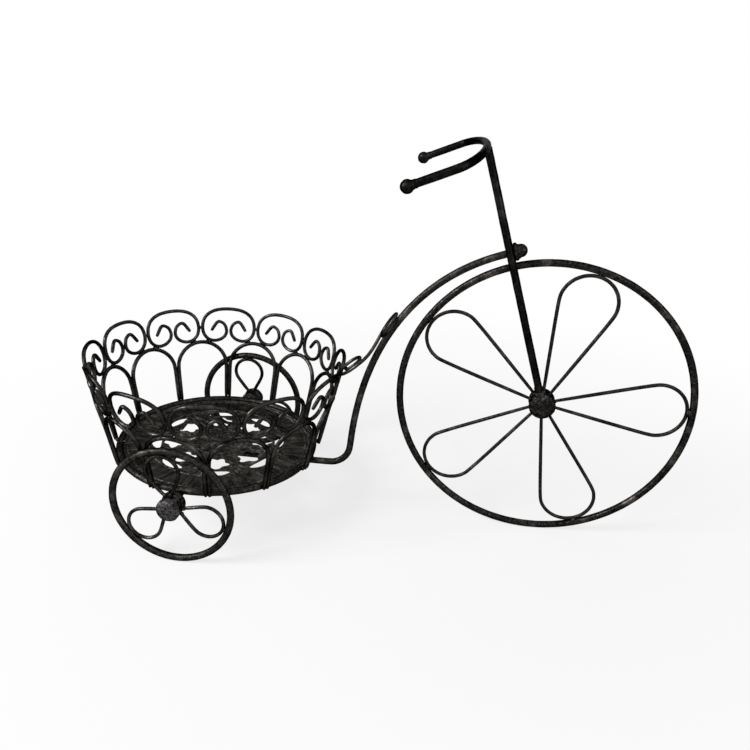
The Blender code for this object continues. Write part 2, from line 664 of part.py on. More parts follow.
def add_tray(parts, guides, basket):
    """The tray lies on the axle and frame rod inside the base ring; its plate is let into the band."""
    low = -BAR_RADIUS
    bead = TRAY_THICKNESS + TRAY_BEAD_RISE
    profile = [
        (TRAY_RADIUS - TRAY_BEAD_WIDTH / 2, bead),
        (TRAY_RADIUS, TRAY_THICKNESS),
        (TRAY_RADIUS, 0),
        (TRAY_BAND_INNER_RADIUS, 0),
        (TRAY_BAND_INNER_RADIUS, TRAY_THICKNESS),
        (TRAY_RADIUS - TRAY_BEAD_WIDTH, TRAY_THICKNESS),
    ]
    tray = turned("tray", profile, True, RING_FACETS, parts, basket,
                  iron("tray", WORN_IRON, CAST_ROUGHNESS), Vector((0, 0, low)))

    sheet = bpy.data.curves.new("tray_plate", "CURVE")
    sheet.dimensions = "2D"
    sheet.fill_mode = "BOTH"
    sheet.extrude = PLATE_THICKNESS / 2
    add_loop(sheet, circle_points(TRAY_BAND_INNER_RADIUS + PLATE_INLET, RING_FACETS))
    for index in range(LEAF_COUNT):
        turn = math.radians(LEAF_TURN_DEG) + math.tau * index / LEAF_COUNT
        add_loop(sheet, leaf_points(OUTER_LEAF_PLACE, OUTER_LEAF_HALF_LENGTH, OUTER_LEAF_HALF_WIDTH,
                                    turn, OUTER_LEAF_LOBE_SHARE))
        add_loop(sheet, leaf_points(INNER_LEAF_PLACE, INNER_LEAF_HALF_LENGTH, INNER_LEAF_HALF_WIDTH,
                                    turn, INNER_LEAF_LOBE_SHARE))
    middle = Vector((0, 0, low + TRAY_THICKNESS / 2))
    outline = add_object("tray_plate_outline", sheet, guides, basket, middle)
    plate = mesh_from_curve(outline, "tray_plate", guides)

    union = tray.modifiers.new("plate", "BOOLEAN")
    union.operation = "UNION"
    union.solver = "EXACT"
    union.object = plate
    settle_modifiers(tray)


def mesh_from_curve(item, name, collection):
    """Turns a curve object into a closed mesh guide in the same place."""
    bpy.context.view_layer.update()
    evaluated = item.evaluated_get(bpy.context.evaluated_depsgraph_get())
    mesh = bpy.data.meshes.new_from_object(evaluated)
    cleaner = bmesh.new()
    cleaner.from_mesh(mesh)
    bmesh.ops.remove_doubles(cleaner, verts=cleaner.verts, dist=MERGE_DISTANCE)
    cleaner.to_mesh(mesh)
    cleaner.free()
    guide = bpy.data.objects.new(name, mesh)
    collection.objects.link(guide)
    guide.matrix_world = item.matrix_world.copy()
    guide.hide_render = True
    guide.display_type = "WIRE"
    bpy.data.objects.remove(item, do_unlink=True)
    return guide


def rod_side(share):
    """A point beside the frame rod, above and behind it, where the brace's wire lies."""
    along = (frame_sweep(share + ROD_STEP_SHARE) - frame_sweep(share - ROD_STEP_SHARE)).normalized()
    aside = Vector((along.z, 0, -along.x))
    return frame_sweep(share) + aside * (BAR_RADIUS + FIT_GAP + BASKET_WIRE_RADIUS)


def landing_share(corner):
    """Where the brace meets the rod: at its share, or lower where the rod's bow would be in the way."""
    def open_before(share):
        onward = rod_side(share - ROD_STEP_SHARE) - rod_side(share)
        reach = rod_side(share) - corner
        turn = math.atan2(onward.z, onward.x) - math.atan2(reach.z, reach.x)
        return turn > math.radians(BRACE_APPROACH_DEG)

    return bisect(BRACE_LANDING_SHARE, 1 - ROD_STEP_SHARE, open_before)


def brace_spine(start):
    """The bent sheet's edge line: straight off the basket, then a bend onto the frame rod."""
    rise = math.radians(BRACE_RISE_DEG)
    ahead = Vector((math.cos(rise), 0, math.sin(rise)))
    corner = start + ahead * 2 * LOWER_CURL_RADIUS * LOWER_CURL_STRETCH_SHARE
    share = landing_share(corner)
    landing = rod_side(share)
    onward = (rod_side(share - ROD_STEP_SHARE) - landing).normalized()
    span = (landing - corner).length
    points = [start, corner]
    for index in range(1, BRACE_BEND_STEPS + 1):
        gone = index / BRACE_BEND_STEPS
        rest = 1 - gone
        points.append(corner * rest ** 3 + (corner + ahead * span / 3) * 3 * rest ** 2 * gone
                      + (landing - onward * span / 3) * 3 * rest * gone ** 2 + landing * gone ** 3)
    upper_length = 2 * UPPER_CURL_RADIUS * UPPER_CURL_STRETCH_SHARE
    covered = 0
    while covered < upper_length:
        share -= ROD_STEP_SHARE
        point = rod_side(share)
        covered += (point - points[-1]).length
        points.append(point)
    return points


def along_spine(points, distance):
    for start, end in zip(points, points[1:]):
        length = (end - start).length
        if distance <= length:
            return start.lerp(end, distance / length)
        distance -= length
    return points[-1]


def curl(radius, eye_radius, stretch_share):
    """A spiral from its outer end inwards: starts at the side, heading along, and turns back."""
    points = []
    for step in range(CURL_STEPS + 1):
        share = step / CURL_STEPS
        angle = math.pi / 2 - math.tau * CURL_TURNS_SHARE * share
        reach = radius + (eye_radius - radius) * share
        points.append((reach * stretch_share * math.cos(angle), reach * math.sin(angle)))
    return points


def brace_points(start):
    """The S-scroll laid on its bent sheet: (distance up the spine, distance across)."""
    spine = brace_spine(start)
    total = sum((end - begin).length for begin, end in zip(spine, spine[1:]))
    low_centre = LOWER_CURL_RADIUS * LOWER_CURL_STRETCH_SHARE
    high_centre = total - UPPER_CURL_RADIUS * UPPER_CURL_STRETCH_SHARE
    lower = curl(LOWER_CURL_RADIUS, LOWER_EYE_RADIUS, LOWER_CURL_STRETCH_SHARE)
    flat = [(low_centre - along, -across) for along, across in reversed(lower)]
    for step in range(1, BRACE_CROSS_STEPS):
        share = step / BRACE_CROSS_STEPS
        blend = (1 - math.cos(math.pi * share)) / 2
        across = -LOWER_CURL_RADIUS + (UPPER_CURL_RADIUS + LOWER_CURL_RADIUS) * blend
        flat.append((low_centre + (high_centre - low_centre) * share, across))
    upper = curl(UPPER_CURL_RADIUS, UPPER_EYE_RADIUS, UPPER_CURL_STRETCH_SHARE)
    flat += [(high_centre + along, across) for along, across in upper]
    return [along_spine(spine, along) + Vector((0, across, 0)) for along, across in flat]


def add_brace(parts, root, scroll):
    """The brace's lower curl rests against the two scrolls at the basket's front."""
    front = [[basket_place() @ Matrix.Rotation(turn, 4, "Z") @ point for point in scroll]
             for turn in (-HALF_PITCH, HALF_PITCH)]
    wall = basket_place() @ wall_point(0, BRACE_SEAT_HEIGHT)
    rise = math.radians(BRACE_RISE_DEG)
    ahead = Vector((math.cos(rise), 0, math.sin(rise)))

    def clears(distance):
        path = brace_points(wall + ahead * distance)
        return min(least_gap(path, wire) for wire in front) > WIRE_SEAT

    distance = bisect(-LOWER_CURL_RADIUS, LOWER_CURL_RADIUS, clears)
    brace = wire_curve("scroll_brace", brace_points(wall + ahead * distance), BASKET_WIRE_RADIUS,
                       WIRE_SECTION_STEPS, iron("scroll_brace", WORN_IRON, WIRE_ROUGHNESS))
    add_object("scroll_brace", brace, parts, root)


def stand_on_origin(parts, root):
    """Moves the whole planter so that its box stands centred on the origin."""
    bpy.context.view_layer.update()
    graph = bpy.context.evaluated_depsgraph_get()
    corners = []
    for item in parts.objects:
        if item.type == "EMPTY":
            continue
        mesh = item.evaluated_get(graph).to_mesh()
        corners += [item.matrix_world @ vertex.co for vertex in mesh.vertices]
    lows = [min(corner[axis] for corner in corners) for axis in range(3)]
    highs = [max(corner[axis] for corner in corners) for axis in range(3)]
    root.location = (-(lows[0] + highs[0]) / 2, -(lows[1] + highs[1]) / 2, -lows[2])


def build():
    clear_scene()
    parts = new_collection(OBJECT_NAME)
    guides = new_collection("guides")
    root = add_object("planter_origin", None, parts, None)
    add_running_gear(parts, root)
    add_fork(parts, root)
    add_handlebar(parts, root)
    add_frame(parts, root)
    basket = add_object("basket_origin", None, parts, root, basket_centre(), (0, BASKET_LEAN, 0))
    scroll = scroll_points(scroll_foot_height())
    add_basket_wall(parts, basket, scroll)
    add_tray(parts, guides, basket)
    add_brace(parts, root, scroll)
    stand_on_origin(parts, root)
    bpy.context.view_layer.update()


build()
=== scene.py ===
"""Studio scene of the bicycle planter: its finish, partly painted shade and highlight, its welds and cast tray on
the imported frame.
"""

import math

import bmesh
import bpy
from mathutils import Matrix, Vector, noise
from mathutils.bvhtree import BVHTree


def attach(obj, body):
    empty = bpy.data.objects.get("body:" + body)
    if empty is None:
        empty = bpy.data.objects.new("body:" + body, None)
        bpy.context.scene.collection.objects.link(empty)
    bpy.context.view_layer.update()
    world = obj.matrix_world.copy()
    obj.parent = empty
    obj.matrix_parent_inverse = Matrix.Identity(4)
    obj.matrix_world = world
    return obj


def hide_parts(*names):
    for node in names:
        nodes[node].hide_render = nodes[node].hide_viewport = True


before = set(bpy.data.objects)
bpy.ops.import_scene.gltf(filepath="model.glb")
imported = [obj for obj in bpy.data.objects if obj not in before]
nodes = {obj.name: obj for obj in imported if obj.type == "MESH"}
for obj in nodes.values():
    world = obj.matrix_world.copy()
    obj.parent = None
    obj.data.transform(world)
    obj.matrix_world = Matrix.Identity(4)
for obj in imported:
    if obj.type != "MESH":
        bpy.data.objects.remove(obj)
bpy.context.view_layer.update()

# Camera, fitted to the photograph: 36 mm sensor across the square frame.
CAMERA_PLACE = (0.09077, -0.60848, 0.41310)
CAMERA_YAW = 0.15908
CAMERA_PITCH = 0.40638
CAMERA_ROLL = 0.01435
CAMERA_LENS_MM = 34.675

# Sizes that the frame's pieces share, in metres.
BASKET_CENTRE = Vector((-0.16492, 0.0, 0.06331))
BASKET_LEAN = math.radians(3.717)
FRONT_AXLE = Vector((0.14657, 0.0, 0.13276))
REAR_AXLE = Vector((-0.16732, 0.0, 0.05716))
HALF_TRACK = 0.11124
BAR_RADIUS = 0.0030
FORK_RAKE = math.radians(16.36)
FORK_LEG_OFFSET = 0.0070
FORK_LEG_LOW = 0.0116
FORK_LEG_LENGTH = 0.2168
FORK_UP = Vector((-math.sin(FORK_RAKE), 0, math.cos(FORK_RAKE)))
FORK_AHEAD = Vector((math.cos(FORK_RAKE), 0, math.sin(FORK_RAKE)))
HEAD_REACH = 0.1419
FRONT_CAP_RADIUS = 0.0120
REAR_CAP_RADIUS = 0.0108
CAP_INNER_PLANE = 0.0040
PETAL_FOOT_DEG = 14.5
PETAL_FOOT_REACH = 0.0112
BAR_TOP = Vector((0.08128, 0.0, 0.35516))
BAR_SLOPE = math.radians(20.8)
BAR_TURN = math.radians(2.15)
BAR_HALF_WIDTH = 0.0880
BAR_LENGTH = 0.0598
TRAY_LOW = -0.0030
TRAY_RADIUS = 0.0917
TRAY_BAND_INNER = 0.0660
TRAY_PLATE_RADIUS = 0.0670
TRAY_LEAVES = 8
TRAY_FIRST_LEAF = math.radians(17.5)
TRAY_BEAD_RADIUS = 0.0250
TRAY_RIM_RADII = (0.0902, 0.0868, 0.0668)
BASKET_ARCHES = 12
TURNED_FACETS = 56

# How far each kind of frame piece is pushed out before the subdivision draws it in again.
PETAL_SWELL = 0.00042
REAR_LEFT_PETAL_SWELL = 0.00065
ARCH_SWELL = 0.00080
SCROLL_SWELL = 0.00055
BAR_SWELL = 0.00050
MERGE_DISTANCE = 0.00002
END_BEVEL = 0.0005
END_ANGLE = math.radians(78)
ROUNDING_LEVELS = 2

# The iron's noise, from broad mottle to fine grain.
MOTTLE_SCALE = 60.0
PATCH_SCALE = 140.0
FLECK_SCALE = 640.0
GRAIN_SCALE = 1900.0
GRAIN_DEPTH = 0.00012

# The brace's bent sheet seen from the side: its line up from the basket and along the rod.
BRACE_SPINE = [(-0.04125, 0.14711), (-0.01679, 0.16588), (-0.01273, 0.16965), (-0.00925, 0.17403),
               (-0.00621, 0.17879), (-0.00345, 0.18369), (0.00031, 0.19040), (0.00428, 0.19693),
               (0.00847, 0.20328), (0.01287, 0.20943)]
BRACE_LOWER_CURL = (0.0134, 0.0055, 1.15)
BRACE_UPPER_CURL = (0.0085, 0.0040, 1.75)
BRACE_WIRE_RADIUS = 0.0016
BRACE_ROLL = math.radians(4.5)


def shader_material(name, roughness):
    material = bpy.data.materials.new(name)
    material.use_nodes = True
    tree = material.node_tree
    shader = tree.nodes["Principled BSDF"]
    shader.inputs["Roughness"].default_value = roughness
    return material, tree, shader


def add_noise(tree, coordinates, scale, detail, roughness=0.55):
    node = tree.nodes.new("ShaderNodeTexNoise")
    node.inputs["Scale"].default_value = scale
    node.inputs["Detail"].default_value = detail
    node.inputs["Roughness"].default_value = roughness
    tree.links.new(coordinates, node.inputs["Vector"])
    return node


def add_ramp(tree, factor, stops):
    """A colour ramp over a 0 to 1 value, from (place, colour) stops."""
    node = tree.nodes.new("ShaderNodeValToRGB")
    while len(node.color_ramp.elements) < len(stops):
        node.color_ramp.elements.new(0.5)
    for element, (place, colour) in zip(node.color_ramp.elements, stops):
        element.position = place
        element.color = (*colour, 1)
    tree.links.new(factor, node.inputs["Fac"])
    return node


def grey_range(tree, factor, low, high):
    node = tree.nodes.new("ShaderNodeMapRange")
    node.inputs["To Min"].default_value = low
    node.inputs["To Max"].default_value = high
    tree.links.new(factor, node.inputs["Value"])
    return node.outputs["Result"]


def mix_colours(tree, factor, first, second, blend="MIX"):
    """Mixes two colours. The factor and each colour is either a socket or a plain value."""
    node = tree.nodes.new("ShaderNodeMix")
    node.data_type = "RGBA"
    node.blend_type = blend
    for source, socket in ((factor, node.inputs["Factor"]), (first, node.inputs[6]), (second, node.inputs[7])):
        if isinstance(source, bpy.types.NodeSocket):
            tree.links.new(source, socket)
        else:
            socket.default_value = source
    return node.outputs[2]


def add_bump(tree, height, strength, distance):
    node = tree.nodes.new("ShaderNodeBump")
    node.inputs["Strength"].default_value = strength
    node.inputs["Distance"].default_value = distance
    tree.links.new(height, node.inputs["Height"])
    return node


def polar_place(tree, place):
    """Object coordinates turned into bearing and radius, so that noise runs in rays."""
    bearing = tree.nodes.new("ShaderNodeTexGradient")
    bearing.gradient_type = "RADIAL"
    tree.links.new(place, bearing.inputs["Vector"])
    reach = tree.nodes.new("ShaderNodeVectorMath")
    reach.operation = "LENGTH"
    tree.links.new(place, reach.inputs[0])
    slow = tree.nodes.new("ShaderNodeMath")
    slow.operation = "MULTIPLY"
    slow.inputs[1].default_value = 0.35
    tree.links.new(reach.outputs["Value"], slow.inputs[0])
    joined = tree.nodes.new("ShaderNodeCombineXYZ")
    tree.links.new(bearing.outputs["Fac"], joined.inputs["X"])
    tree.links.new(slow.outputs["Value"], joined.inputs["Y"])
    return joined.outputs["Vector"]


def painted_iron(name, dark, mid, worn, roughness, lump_scale, lump_depth, wear=0.2, flecks_and_painted_light=1.0, rays=False):
    """Satin paint over hand-worked iron: mottled colour, worn high edges, and soft lumps whose hollows are
    painted darker and tops lighter, a painted shade and highlight.
    """
    material, tree, shader = shader_material(name, roughness)
    place = tree.nodes.new("ShaderNodeTexCoord").outputs["Object"]
    mottle = add_noise(tree, place, MOTTLE_SCALE, 6.0)
    colour = add_ramp(tree, mottle.outputs["Fac"], [(0.30, dark), (0.55, mid), (1.10 - 0.30 * flecks_and_painted_light, worn)])
    edges = tree.nodes.new("ShaderNodeNewGeometry").outputs["Pointiness"]
    edge_wear = add_ramp(tree, edges, [(0.53, (0.0, 0.0, 0.0)), (0.66, (wear, wear, wear))])
    edged = mix_colours(tree, edge_wear.outputs["Color"], colour.outputs["Color"], (*worn, 1))
    flecks = add_noise(tree, place, FLECK_SCALE, 6.0, 0.7)
    fleck_share = add_ramp(tree, flecks.outputs["Fac"], [(0.52, (0.0, 0.0, 0.0)), (0.80, (flecks_and_painted_light, flecks_and_painted_light, flecks_and_painted_light))])
    flecked = mix_colours(tree, fleck_share.outputs["Color"], edged, (*worn, 1))

    patches = add_noise(tree, place, PATCH_SCALE, 4.0)
    rough = grey_range(tree, patches.outputs["Fac"], roughness - 0.14, roughness + 0.16)
    tree.links.new(rough, shader.inputs["Roughness"])
    shader.inputs["Metallic"].default_value = 1.0
    shader.inputs["Specular Tint"].default_value = (0.12, 0.12, 0.12, 1)

    lumps = add_noise(tree, polar_place(tree, place) if rays else place, lump_scale, 3.0)
    # The lumps that bump the surface also darken the colour in their hollows and lighten it on their tops:
    # painted shade and painted highlight. The speckle strength sets both this and the worn flecks.
    low, high = 1 - 0.65 * flecks_and_painted_light, 1 + 1.0 * flecks_and_painted_light
    depth = add_ramp(tree, lumps.outputs["Fac"], [(0.34, (low, low, low)), (0.68, (high, high, high))])
    shaded = mix_colours(tree, 1.0, flecked, depth.outputs["Color"], "MULTIPLY")
    tree.links.new(shaded, shader.inputs["Base Color"])

    grain = add_noise(tree, place, GRAIN_SCALE, 2.0)
    coarse = add_bump(tree, lumps.outputs["Fac"], 1.0, lump_depth)
    fine = add_bump(tree, grain.outputs["Fac"], 0.5, GRAIN_DEPTH)
    tree.links.new(coarse.outputs["Normal"], fine.inputs["Normal"])
    tree.links.new(fine.outputs["Normal"], shader.inputs["Normal"])
    return material


FRONT_IRON = painted_iron(
    "front_iron", (0.0035, 0.0035, 0.0035), (0.0140, 0.0130, 0.0118), (0.120, 0.110, 0.100), 0.36, 330.0, 0.0004,
    0.05, 0.75)
BAR_IRON = painted_iron(
    "bar_iron", (0.008, 0.008, 0.0075), (0.0190, 0.0178, 0.0162), (0.120, 0.110, 0.100), 0.42, 330.0, 0.0005,
    0.05, 0.7)
HANDLE_IRON = painted_iron(
    "handle_iron", (0.0030, 0.0030, 0.0030), (0.0062, 0.0059, 0.0056), (0.042, 0.039, 0.036), 0.34, 260.0, 0.0004,
    0.05, 0.6)
WIRE_IRON = painted_iron(
    "wire_iron", (0.007, 0.007, 0.007), (0.0240, 0.0225, 0.0210), (0.140, 0.130, 0.120), 0.30, 420.0, 0.0002,
    0.2, 0.5)
PETAL_IRON = painted_iron(
    "petal_iron", (0.006, 0.0056, 0.0053), (0.0175, 0.0160, 0.0148), (0.120, 0.108, 0.098), 0.34, 420.0, 0.0003,
    0.1, 0.6)
HAMMERED_IRON = painted_iron(
    "hammered_iron", (0.003, 0.003, 0.003), (0.012, 0.0115, 0.0108), (0.130, 0.125, 0.115), 0.32, 300.0, 0.0022,
    0.2, 0.75)
# A lighter copy of the hammered iron for the rear right outer cap, which faces the camera and the lamps: light
# painted into its colour.
LIT_REAR_CAP_IRON = painted_iron(
    "lit_rear_cap_iron", (0.015, 0.015, 0.015), (0.055, 0.052, 0.052), (0.180, 0.170, 0.165), 0.44, 430.0, 0.0010)
TRAY_IRON = painted_iron(
    "tray_iron", (0.010, 0.010, 0.009), (0.033, 0.0313, 0.0287), (0.130, 0.123, 0.111), 0.52, 300.0, 0.0020, 0.5)
BAND_IRON = painted_iron(
    "band_iron", (0.012, 0.012, 0.011), (0.036, 0.0345, 0.0315), (0.130, 0.123, 0.111), 0.45, 90.0, 0.0036,
    0.4, 0.6, rays=True)
WELD_IRON = painted_iron(
    "weld_iron", (0.004, 0.004, 0.004), (0.013, 0.012, 0.0115), (0.080, 0.074, 0.068), 0.36, 700.0, 0.0006)


def refine(item, swell):
    """Rounds a frame node's facets and keeps its ends blunt: a slightly fuller form, subdivided."""
    weld = item.modifiers.new("weld", "WELD")
    weld.merge_threshold = MERGE_DISTANCE
    ends = item.modifiers.new("ends", "BEVEL")
    ends.width = END_BEVEL
    ends.limit_method = "ANGLE"
    ends.angle_limit = END_ANGLE
    push = item.modifiers.new("swell", "DISPLACE")
    push.strength = swell
    push.mid_level = 0.0
    rounding = item.modifiers.new("round", "SUBSURF")
    rounding.levels = ROUNDING_LEVELS
    rounding.render_levels = ROUNDING_LEVELS
    for face in item.data.polygons:
        face.use_smooth = True


def dress(item, material):
    item.data.materials.clear()
    item.data.materials.append(material)


def dress_frame():
    for name, item in nodes.items():
        if "petal" in name:
            dress(item, PETAL_IRON)
            refine(item, REAR_LEFT_PETAL_SWELL if "rear_left" in name else PETAL_SWELL)
        elif "basket_" in name:
            dress(item, WIRE_IRON)
            refine(item, ARCH_SWELL if "arch" in name else SCROLL_SWELL)
        elif "hub" in name or "cap" in name or name == "head_washer":
            dress(item, HAMMERED_IRON)
        elif name == "tray":
            dress(item, TRAY_IRON)
        elif name in ("front_rim", "rear_left_rim", "rear_right_rim", "base_ring", "frame_rod", "handlebar"):
            dress(item, {"front_rim": FRONT_IRON, "handlebar": HANDLE_IRON}.get(name, BAR_IRON))
            refine(item, BAR_SWELL)
        else:
            dress(item, BAR_IRON)


def add_piece(name, mesh, materials, body, replaced=None, place=Matrix.Identity(4)):
    """Links a scene mesh, fixes it to a body and, where asked, shows it in place of a frame node."""
    mesh.shade_smooth()
    for material in materials:
        mesh.materials.append(material)
    item = bpy.data.objects.new(name, mesh)
    bpy.context.scene.collection.objects.link(item)
    item.matrix_world = place
    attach(item, body)
    if replaced:
        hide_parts(replaced)
    return item


def arc(centre, radius, start_deg, end_deg, steps):
    """Profile points (radius, height) on a circle, both ends included."""
    points = []
    for step in range(steps + 1):
        angle = math.radians(start_deg + (end_deg - start_deg) * step / steps)
        points.append((centre[0] + radius * math.cos(angle), centre[1] + radius * math.sin(angle)))
    return points


def lathe(name, node, profile, place, axis, material, dents=0.0, dent_scale=330.0):
    """Turns a closed profile round an axis, finely, and dents it as a hammer does."""
    builder = bmesh.new()
    rings = []
    for radius, height in profile:
        if radius < 1e-6:
            rings.append([builder.verts.new((0, 0, height))])
            continue
        rings.append([builder.verts.new((radius * math.cos(math.tau * step / TURNED_FACETS),
                                         radius * math.sin(math.tau * step / TURNED_FACETS), height))
                      for step in range(TURNED_FACETS)])
    for ring, after in zip(rings, rings[1:]):
        for step in range(TURNED_FACETS):
            corners = [ring[step % len(ring)], ring[(step + 1) % len(ring)],
                       after[(step + 1) % len(after)], after[step % len(after)]]
            builder.faces.new(list(dict.fromkeys(corners)))
    bmesh.ops.recalc_face_normals(builder, faces=builder.faces)
    builder.normal_update()
    shift = Vector(place) * 7.0
    for vertex in builder.verts:
        dent = noise.noise(vertex.co * dent_scale + shift * dent_scale)
        vertex.co -= vertex.normal * dents * (0.5 + dent)
    turn = Vector(axis).to_track_quat("Z", "Y").to_matrix().to_4x4()
    mesh = bpy.data.meshes.new(name)
    builder.transform(Matrix.Translation(place) @ turn)
    builder.to_mesh(mesh)
    builder.free()
    return add_piece(name, mesh, [material], "planter", node)


def add_hub_caps():
    """Domed caps with hammered faces, each facing away from its wheel."""
    caps = [("front_hub_cap_right", FRONT_AXLE, -1), ("front_hub_cap_left", FRONT_AXLE, 1)]
    for word, side in (("rear_right", -1), ("rear_left", 1)):
        wheel = REAR_AXLE + Vector((0, side * HALF_TRACK, 0))
        caps += [(word + "_outer_cap", wheel, side), (word + "_inner_cap", wheel, -side)]
    for node, wheel, side in caps:
        radius = FRONT_CAP_RADIUS if "front" in node else REAR_CAP_RADIUS
        profile = [(0, 0), (radius - 0.0006, 0)]
        profile += arc((radius - 0.0006, 0.0006), 0.0006, -90, 0, 4)
        for step in range(13):
            angle = math.radians(90 * step / 12)
            profile.append((radius * math.cos(angle) ** 0.75, 0.0030 + 0.0040 * math.sin(angle)))
        profile[-1] = (0, profile[-1][1])
        # The rear right outer cap, facing the camera and the lamps, takes the lighter copy of the iron: painted
        # light.
        lathe("dressed_" + node, node, profile, wheel + Vector((0, side * CAP_INNER_PLANE, 0)),
              (0, side, 0), LIT_REAR_CAP_IRON if node == "rear_right_outer_cap" else HAMMERED_IRON,
              0.0003)


def add_head():
    """The fork's legs, and the washer and ball nut in front of them."""
    for word, side in (("right", -1), ("left", 1)):
        rows = 60
        profile = [(0, 0)]
        profile += [(BAR_RADIUS + 0.0002, FORK_LEG_LENGTH * row / rows) for row in range(rows + 1)]
        profile += [(0, FORK_LEG_LENGTH)]
        low = FRONT_AXLE + FORK_UP * FORK_LEG_LOW + Vector((0, side * FORK_LEG_OFFSET, 0))
        lathe("dressed_fork_leg_" + word, "fork_leg_" + word, profile, low, FORK_UP, HANDLE_IRON,
              0.0002, 120.0)
    head = FRONT_AXLE + FORK_UP * HEAD_REACH
    washer = [(0, 0)] + arc((0.0061, 0.0018), 0.0018, -90, 0, 5) + arc((0.0061, 0.0020), 0.0018, 0, 90, 5)
    washer.append((0, 0.0038))
    lathe("dressed_head_washer", "head_washer", washer, head + FORK_AHEAD * 0.0030, FORK_AHEAD,
          HAMMERED_IRON, 0.0002)
    ball = [(0, 0)] + arc((0, 0.0022), 0.0058, -22, 90, 16)
    ball[-1] = (0, ball[-1][1])
    lathe("dressed_head_ball_nut", "head_ball_nut", ball, head + FORK_AHEAD * 0.0068, FORK_AHEAD,
          FRONT_IRON, 0.00015)


def add_knobs():
    """Ball ends with short necks on the handlebar."""
    turn = Matrix.Rotation(math.pi + BAR_TURN, 3, "Z") @ Matrix.Rotation(BAR_SLOPE, 3, "Y")
    for word, side in (("right", 1), ("left", -1)):
        place = BAR_TOP + turn @ Vector((BAR_LENGTH, side * BAR_HALF_WIDTH, 0))
        profile = [(0, -0.0073), (0.0033, -0.0073), (0.0036, -0.0070), (0.0035, -0.0052)]
        profile += arc((0, 0), 0.0054, -44, 90, 18)
        profile[-1] = (0, profile[-1][1])
        lathe("dressed_knob_" + word, "handlebar_knob_" + word, profile, place, turn @ Vector((1, 0, 0)),
              HANDLE_IRON, 0.0002)


def leaf_loop(place, half_length, half_width, turn, lobes, depth, steps=60):
    """A lobed opening whose length follows the tray's round."""
    points = []
    for step in range(steps):
        angle = math.tau * step / steps
        reach = 1 + depth * math.cos(lobes * angle)
        radius = place + half_width * reach * math.cos(angle)
        bearing = turn + half_length * reach * math.sin(angle) / place
        points.append((radius * math.cos(bearing), radius * math.sin(bearing), 0))
    return points


def tray_curve(name, loops, height, bevel):
    """A flat cast sheet with rounded edges, from an outline and its openings."""
    curve = bpy.data.curves.new(name, "CURVE")
    curve.dimensions = "2D"
    curve.fill_mode = "BOTH"
    curve.extrude = height / 2 - bevel
    curve.bevel_depth = bevel
    curve.bevel_resolution = 3
    curve.offset = -bevel
    for points in loops:
        spline = curve.splines.new("POLY")
        spline.points.add(len(points) - 1)
        for spot, point in zip(spline.points, points):
            spot.co = (*point, 1)
        spline.use_cyclic_u = True
    return curve


def ring_loop(radius, steps=128):
    return [(radius * math.cos(math.tau * step / steps), radius * math.sin(math.tau * step / steps), 0)
            for step in range(steps)]


def join_curves(name, placed):
    """Meshes of several curves, each lifted to its height, as one mesh with a slot for each material."""
    builder = bmesh.new()
    for curve, lift, slot_index in placed:
        holder = bpy.data.objects.new(curve.name, curve)
        bpy.context.scene.collection.objects.link(holder)
        bpy.context.view_layer.update()
        evaluated = holder.evaluated_get(bpy.context.evaluated_depsgraph_get())
        mesh = bpy.data.meshes.new_from_object(evaluated)
        mesh.transform(Matrix.Translation((0, 0, lift)))
        first = len(builder.faces)
        builder.from_mesh(mesh)
        builder.faces.ensure_lookup_table()
        for face in builder.faces[first:]:
            face.material_index = slot_index
        bpy.data.meshes.remove(mesh)
        bpy.data.objects.remove(holder, do_unlink=True)
    mesh = bpy.data.meshes.new(name)
    builder.to_mesh(mesh)
    builder.free()
    return mesh


def relief(name, paths, radius, closed):
    """Low raised lines of a casting."""
    curve = bpy.data.curves.new(name, "CURVE")
    curve.dimensions = "3D"
    curve.bevel_depth = radius
    curve.bevel_resolution = 4
    for points in paths:
        spline = curve.splines.new("POLY")
        spline.points.add(len(points) - 1)
        for spot, point in zip(spline.points, points):
            spot.co = (*point, 1)
        spline.use_cyclic_u = closed
    curve.use_fill_caps = not closed
    return curve


def add_tray():
    """The cast tray: a ray-grained band with beads, round a plate with leaves cut through it."""
    openings = []
    scrolls = []
    for index in range(TRAY_LEAVES):
        turn = TRAY_FIRST_LEAF + math.tau * index / TRAY_LEAVES
        openings.append(leaf_loop(0.0425, 0.0106, 0.0092, turn, 5, 0.18))
        openings.append(leaf_loop(0.0598, 0.0132, 0.0044, turn, 3, 0.08))
        for side in (-1, 1):
            path = []
            for step in range(17):
                share = step / 16
                radius = 0.0315 + 0.0325 * share
                bearing = turn + side * (0.393 - 0.085 * math.sin(share * math.tau * 0.9))
                path.append((radius * math.cos(bearing), radius * math.sin(bearing), 0))
            scrolls.append(path)
    plate = tray_curve("tray_plate_sheet", [ring_loop(TRAY_PLATE_RADIUS)] + openings, 0.0016, 0.0005)
    band = tray_curve("tray_band_sheet", [ring_loop(TRAY_RADIUS), ring_loop(TRAY_BAND_INNER)], 0.0022, 0.0005)
    beads = relief("tray_beads", [ring_loop(TRAY_BEAD_RADIUS)], 0.0011, True)
    rims = relief("tray_rims", [ring_loop(radius) for radius in TRAY_RIM_RADII], 0.0012, True)
    veins = relief("tray_veins", scrolls, 0.0014, False)
    mesh = join_curves("dressed_tray", [(plate, TRAY_LOW + 0.0011, 0), (band, TRAY_LOW + 0.0011, 1),
                                        (beads, TRAY_LOW + 0.0018, 0), (rims, TRAY_LOW + 0.0019, 0),
                                        (veins, TRAY_LOW + 0.0017, 0)])
    add_piece("dressed_tray", mesh, [TRAY_IRON, BAND_IRON], "planter", "tray",
              Matrix.Translation(BASKET_CENTRE) @ Matrix.Rotation(BASKET_LEAN, 4, "Y"))


def curl(sizes):
    """A spiral from its outer end inwards, from its outer radius, eye radius and stretch."""
    outer, eye, stretch = sizes
    points = []
    for step in range(41):
        share = step / 40
        angle = math.pi / 2 - math.tau * 1.25 * share
        reach = outer + (eye - outer) * share
        points.append((reach * stretch * math.cos(angle), reach * math.sin(angle)))
    return points


